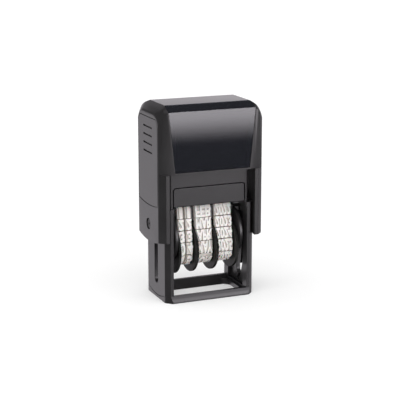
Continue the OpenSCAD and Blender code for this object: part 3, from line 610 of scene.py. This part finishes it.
# %% Set the type
CHARACTER_H = 3.75
SINK = 0.05
CUT = 0.45
WIDEST = 1.15
# How dark a character is painted at its foot, fading to none at its top: ink and painted shade
TYPE_INK_AND_SHADE = 0.95
# Lengths in the font's own units, where a line is 1 high
FONT_DEPTH, FONT_BEVEL, FONT_BOLD = 0.1, 0.012, 0.03
FONT_CURVE_STEPS = 3


def flat_word(word):
    """A word as a flat bmesh in the font's own units."""
    font = bpy.data.curves.new("type", "FONT")
    font.body = word
    font.align_x = "CENTER"
    font.extrude = FONT_DEPTH
    font.bevel_depth = FONT_BEVEL
    font.offset = FONT_BOLD
    font.resolution_u = FONT_CURVE_STEPS
    text = bpy.data.objects.new("type", font)
    flat = bmesh.new()
    flat.from_mesh(text.to_mesh())
    text.to_mesh_clear()
    bpy.data.objects.remove(text)
    bpy.data.curves.remove(font)
    return flat


def set_word(mesh, ink_and_shade_layer, word, x_middle, room, along_middle):
    """One row's characters as raised rubber on a band, added to a bmesh."""
    flat = flat_word(word)
    low = [min(v.co[i] for v in flat.verts) for i in range(3)]
    high = [max(v.co[i] for v in flat.verts) for i in range(3)]
    tall = CHARACTER_H / (high[1] - low[1])
    wide = min(tall * WIDEST, room / (high[0] - low[0]))
    for v in flat.verts:
        v.co.x = (v.co.x - (low[0] + high[0]) / 2) * wide
        v.co.y = (v.co.y - (low[1] + high[1]) / 2) * tall
        v.co.z = (v.co.z - low[2]) / (high[2] - low[2])
    for k in range(1, int(CHARACTER_H / CUT)):
        parts = flat.verts[:] + flat.edges[:] + flat.faces[:]
        plane = Vector((0, CUT * k - CHARACTER_H / 2, 0))
        bmesh.ops.bisect_plane(flat, geom=parts, plane_co=plane, plane_no=(0, 1, 0))
    made = {}
    for v in flat.verts:
        out = BAND_T + ROW_H - SINK + (TYPE_H + SINK) * v.co.z
        y, z = loop_point(along_middle + v.co.y, out)
        made[v] = mesh.verts.new(Vector((x_middle + v.co.x, y, z)) * MM)
        made[v][ink_and_shade_layer] = TYPE_INK_AND_SHADE * (1 - v.co.z)
    for face in flat.faces:
        mesh.faces.new([made[v] for v in face.verts])
    flat.free()


MONTHS = "JAN FEB MAR APR MAY JUN JUL AUG SEP OCT NOV DEC".split()
FIRST_YEAR = 2021
WORDS = {
    "band_day_tens": [str(k % 4) for k in range(ROWS)],
    "band_day_units": [str(k) if k < 10 else "" for k in range(ROWS)],
    "band_month": MONTHS,
    "band_year": [str(FIRST_YEAR + k) for k in range(ROWS)],
}
print("rows of type:", {band: len(words) for band, words in WORDS.items()})

# %% [markdown]
# ## The four bands
# Each band takes its place and width from its own solid, less a little play at each side. The ring and
# its words go into one mesh, which is shaded smooth but for its sharp edges.

# %% Make the four bands
SIDE_MARGIN = 0.1
SIDE_PLAY = 0.12
BAND_SHARP_ANGLE = math.radians(38)
for band, words in WORDS.items():
    low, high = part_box(band)
    x_low, x_high = low.x / MM + SIDE_PLAY, high.x / MM - SIDE_PLAY
    rubber = bmesh.new()
    ink_and_shade_layer = rubber.verts.layers.float.new("ink_and_shade")
    band_strip(rubber, ink_and_shade_layer, x_low, x_high)
    for row, word in enumerate(words):
        if word:
            room = x_high - x_low - 2 * SIDE_MARGIN
            set_word(rubber, ink_and_shade_layer, word, (x_low + x_high) / 2, room, PITCH * row)
    bmesh.ops.recalc_face_normals(rubber, faces=rubber.faces)
    mesh = bpy.data.meshes.new(band + "_rubber")
    rubber.to_mesh(mesh)
    rubber.free()
    mesh.shade_smooth()
    mesh.set_sharp_from_angle(angle=BAND_SHARP_ANGLE)
    mesh.materials.append(RUBBER)
    piece = bpy.data.objects.new(band + "_rubber", mesh)
    bpy.context.scene.collection.objects.link(piece)
    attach(piece, BODY_OF[band])
    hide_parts(band)
    print(piece.name, "faces:", len(mesh.polygons))

# %% [markdown]
# ## The ink pad
# The pad is a block of felt soaked in ink. It is pressed into the tray, so it is crowned a little in the
# middle and its edges pull in. A grid of points makes the block, a rounded profile crowns it, and the
# felt's finish adds the fibres: short hairs in all directions, matt and nearly black, with a violet tint.

# %% Inked felt
FELT_FIBRE, FELT_FIBRE_H = 0.2, 0.12


def inked_felt():
    """Felt full of ink: matt, with tangled fibres about a fifth of a millimetre thick."""
    material, tree, shader, place = new_finish("inked_felt", {
        "Roughness": 0.85, "Sheen Weight": 0.3, "Sheen Roughness": 0.5, "IOR": 1.4})
    fibre = add(tree, "TexNoise", {"Vector": place, "Scale": scale_for(FELT_FIBRE), "Detail": 6,
                                   "Distortion": 1.5})
    tone = add(tree, "ValToRGB", {"Fac": fibre.outputs["Fac"]}, ramp=[(0.3, "#0e0c12"), (0.7, "#262130")])
    bump = add(tree, "Bump", {"Height": fibre.outputs["Fac"], "Strength": 0.7,
                              "Distance": FELT_FIBRE_H * MM})
    tree.links.new(tone.outputs[0], shader.inputs["Base Color"])
    tree.links.new(bump.outputs[0], shader.inputs["Normal"])
    return material


FELT = inked_felt()
print("finish:", FELT.name)

# %% [markdown]
# A cube that is divided into a grid has points enough to bend. Its own coordinates run from -1 to 1, and
# a high power of them stays near zero but for the last part before an edge, so it bends only the edges.

# %% Make the pad
PAD_STEPS = 24
CROWN = 0.08
DRAW_IN = 0.25
RIM_POWER, EDGE_POWER = 8, 6


def felt_pad():
    """A crowned block in the pad's own box, drawn in towards its upper and lower edges."""
    low, high = (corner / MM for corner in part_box("ink_pad"))
    middle, half = (low + high) / 2, (high - low) / 2
    pad = bmesh.new()
    bmesh.ops.create_cube(pad, size=2)
    bmesh.ops.subdivide_edges(pad, edges=pad.edges, cuts=PAD_STEPS, use_grid_fill=True)
    for v in pad.verts:
        u = v.co.copy()
        rim = max(abs(u.x), abs(u.y)) ** RIM_POWER
        edge = abs(u.z) ** EDGE_POWER
        v.co.x = middle.x + u.x * (half.x - DRAW_IN * edge * abs(u.x) ** EDGE_POWER)
        v.co.y = middle.y + u.y * (half.y - DRAW_IN * edge * abs(u.y) ** EDGE_POWER)
        v.co.z = middle.z + u.z * (half.z - CROWN * rim)
        v.co *= MM
    mesh = bpy.data.meshes.new("ink_pad_felt")
    pad.to_mesh(mesh)
    pad.free()
    mesh.shade_smooth()
    mesh.materials.append(FELT)
    return bpy.data.objects.new("ink_pad_felt", mesh)


pad = felt_pad()
bpy.context.scene.collection.objects.link(pad)
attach(pad, BODY_OF["ink_pad"])
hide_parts("ink_pad")
print(pad.name, "faces:", len(pad.data.polygons))

# %% [markdown]
# ## The return spring
# The spring is a coil of drawn wire between the frame's deck and the cap's top. It is swept as a round tube along
# a helix that closes at both ends, where the last part of a turn lies nearly flat.

# %% Coil the spring
WIRE_R = 0.35
WIRE_SIDES = 12
TURNS = 5.5
RINGS_PER_TURN = 40
# The closed part of each end, in turns, and its rise as a share of the rise between the ends
CLOSED, CLOSED_RISE = 0.6, 0.12
HEIGHT_STEPS = 400
spring_low, spring_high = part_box("return_spring")
COIL_R = spring_high.x / MM - WIRE_R


def coil_height(turn):
    """The wire's height at a turn: slow over the closed ends, steady between them."""
    low, high = spring_low.z / MM + WIRE_R, spring_high.z / MM - WIRE_R
    turns = (TURNS * (i + 0.5) / HEIGHT_STEPS for i in range(HEIGHT_STEPS))
    rises = [CLOSED_RISE if t < CLOSED or t > TURNS - CLOSED else 1 for t in turns]
    share = sum(rises[:int(HEIGHT_STEPS * turn / TURNS)]) / sum(rises)
    return low + (high - low) * share


def spring_coil():
    """The wire as a closed tube along the helix."""
    coil = bmesh.new()
    rings = []
    for i in range(int(TURNS * RINGS_PER_TURN) + 1):
        turn = i / RINGS_PER_TURN
        around = 2 * math.pi * turn
        ring = []
        for k in range(WIRE_SIDES):
            angle = 2 * math.pi * k / WIRE_SIDES
            out = COIL_R + WIRE_R * math.cos(angle)
            up = coil_height(turn) + WIRE_R * math.sin(angle)
            ring.append(coil.verts.new(Vector((out * math.cos(around), out * math.sin(around), up)) * MM))
        rings.append(ring)
    for ring, after in zip(rings, rings[1:]):
        for k in range(WIRE_SIDES):
            j = (k + 1) % WIRE_SIDES
            coil.faces.new((ring[k], after[k], after[j], ring[j]))
    coil.faces.new(rings[0])
    coil.faces.new(list(reversed(rings[-1])))
    bmesh.ops.recalc_face_normals(coil, faces=coil.faces)
    mesh = bpy.data.meshes.new("return_spring_wire")
    coil.to_mesh(mesh)
    coil.free()
    mesh.shade_smooth()
    mesh.materials.append(SPRING_STEEL)
    return bpy.data.objects.new("return_spring_wire", mesh)


spring = spring_coil()
bpy.context.scene.collection.objects.link(spring)
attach(spring, BODY_OF["return_spring"])
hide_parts("return_spring")
room = spring_high.z - spring_low.z
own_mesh(spring)

# %% [markdown]
# ## The floor
# The photograph is a product picture on white. Such pictures are often taken on a table of opal acrylic
# that is lit a little from below, which keeps the floor bright also inside the print window. The floor is
# matt, and it is left out of mirror reflections, because the sky stands for it there.

# %% Floor
FLOOR_HALF = 1.5
FLOOR_GLOW = 0.27
floor_mesh = bpy.data.meshes.new("floor")
corners = [(-FLOOR_HALF, -FLOOR_HALF, 0), (FLOOR_HALF, -FLOOR_HALF, 0),
           (FLOOR_HALF, FLOOR_HALF, 0), (-FLOOR_HALF, FLOOR_HALF, 0)]
floor_mesh.from_pydata(corners, [], [(0, 1, 2, 3)])
floor = bpy.data.objects.new("floor", floor_mesh)
bpy.context.scene.collection.objects.link(floor)
floor_finish = new_finish("opal_acrylic_floor", {
    "Roughness": 1.0, "Specular IOR Level": 0.0, "Base Color": linear("#dddddd"),
    "Emission Color": linear("#ffffff"), "Emission Strength": FLOOR_GLOW})[0]
floor_mesh.materials.append(floor_finish)
floor.visible_glossy = False
print("floor half width in m:", FLOOR_HALF)

# %% [markdown]
# ## The studio light
# Black plastic shows little but what it mirrors, so the sky is made in two parts. Matt surfaces are lit
# by a plain white from all round, with more from the front left than from behind, which leaves soft
# shadows. Glossy ones mirror a studio with a faint tint: a white table and a backdrop behind the stamp,
# bright only low down, a large soft box at the front right, whose fading lower edge shows in the window,
# a pale ceiling straight above, and a dark room between them. The camera itself sees a plain white wall.
#
# A sky shader gets the direction of each ray. Its Z is the sine of the height over the horizon, its X how
# far it points to the right, and its Y how far to the back. A panel of the studio is a light times one
# smooth step for each such range, from the value where it is dark to the value where it is bright.

# %% Directions in the sky
SOFT_BOX_DIRECTION = (0.52, -0.854, 0)
KEY_DIRECTION = (-0.6, -0.8, 0)
world = bpy.data.worlds.new("studio")
bpy.context.scene.world = world
world.use_nodes = True
sky = world.node_tree
sky.nodes.clear()
direction = add(sky, "TexCoord").outputs["Generated"]
split = add(sky, "SeparateXYZ", {"Vector": direction})
to_right, to_back, up = split.outputs["X"], split.outputs["Y"], split.outputs["Z"]
to_soft_box, to_key = [
    add(sky, "VectorMath", {0: direction, 1: aim}, operation="DOT_PRODUCT").outputs["Value"]
    for aim in (SOFT_BOX_DIRECTION, KEY_DIRECTION)]


def panel(light, *steps):
    """A panel of the studio: its light times a smooth step for each (value, dark at, bright at)."""
    shown = light
    for value, dark, bright in steps:
        step = add(sky, "MapRange", {"Value": value, "From Min": dark, "From Max": bright},
                   interpolation_type="SMOOTHSTEP")
        shown = add(sky, "Math", {0: step.outputs[0], 1: shown}, operation="MULTIPLY").outputs[0]
    return shown


print("sky directions:", SOFT_BOX_DIRECTION, KEY_DIRECTION)

# %% [markdown]
# The table is half as bright at the far right, so it is made of two panels: one that is there all across,
# and one that fades out to the right.

# %% Sky
TABLE_LIGHT, BACKDROP_LIGHT, SOFT_BOX_LIGHT, CEILING_LIGHT, ROOM_LIGHT = 0.95, 1.55, 5.4, 0.6, 0.03
FRONT_LIGHT, BACK_LIGHT, WALL_LIGHT = 1.05, 0.62, 0.94
TABLE = ((to_back, -0.3, 0.3), (up, 0.12, -0.08))
BACKDROP = ((to_back, 0.2, 0.6), (up, 0.46, 0.24), (up, -0.08, 0.08), (to_right, -0.25, 0.3))
SOFT_BOX = ((to_soft_box, 0.74, 0.9), (up, -0.205, -0.035), (up, 0.8, 0.0))
mirrored = ROOM_LIGHT
for shown in (panel(TABLE_LIGHT / 2, *TABLE),
              panel(TABLE_LIGHT / 2, *TABLE, (to_right, 0.8, 0.1)),
              panel(BACKDROP_LIGHT, *BACKDROP),
              panel(SOFT_BOX_LIGHT, *SOFT_BOX),
              panel(CEILING_LIGHT, (up, 0.86, 0.97))):
    mirrored = add(sky, "Math", {0: shown, 1: mirrored}, operation="ADD").outputs[0]
front = panel(FRONT_LIGHT, (to_key, -0.6, 0.6))
scattered = add(sky, "Math", {0: front, 1: BACK_LIGHT}, operation="ADD").outputs[0]
even = add(sky, "Background", {"Color": linear("#ffffff"), "Strength": scattered})
studio = add(sky, "Background", {"Color": linear("#fef9ff"), "Strength": mirrored})
white_wall = add(sky, "Background", {"Color": linear("#ffffff"), "Strength": WALL_LIGHT})
path = add(sky, "LightPath")
both = add(sky, "MixShader", {
    0: path.outputs["Is Glossy Ray"], 1: even.outputs[0], 2: studio.outputs[0]})
seen = add(sky, "MixShader", {
    0: path.outputs["Is Camera Ray"], 1: both.outputs[0], 2: white_wall.outputs[0]})
add(sky, "OutputWorld", {"Surface": seen.outputs[0]})
bpy.context.scene.view_settings.view_transform = "Standard"
print("sky:", world.name, "nodes:", len(sky.nodes))
